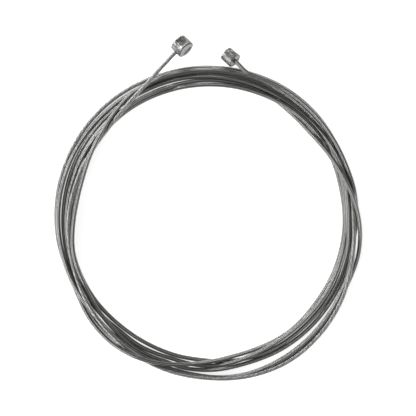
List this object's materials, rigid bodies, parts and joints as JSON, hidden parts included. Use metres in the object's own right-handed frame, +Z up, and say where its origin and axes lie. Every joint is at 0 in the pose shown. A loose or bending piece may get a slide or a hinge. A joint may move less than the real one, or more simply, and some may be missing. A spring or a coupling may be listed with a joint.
{
  "type": "bicycle shift cable",
  "caption": "Stranded steel inner cable for a bicycle shifter, coiled flat for storage, with a crosswise barrel head on one end and an in-line cylinder head on the other.",
  "frame": {"origin": "middle of the underside of the whole coiled cable's box", "axes": "+Z up from the surface it lies on, +Y from the middle of the coil towards the two heads"},
  "size_m": [0.0884, 0.0972, 0.0059],
  "materials": {
    "stranded_steel": "fine drawn wires laid in a left-hand helix, uncoated, satin",
    "cast_zinc": "die-cast and plated, slightly rough on the sides, brighter on the end faces"
  },
  "bodies": {
    "root": {"coil": "stranded_steel", "barrel_end_cable": "stranded_steel", "cylinder_end_cable": "stranded_steel", "barrel_head": "cast_zinc", "cylinder_head": "cast_zinc"}
  },
  "joints": []
}
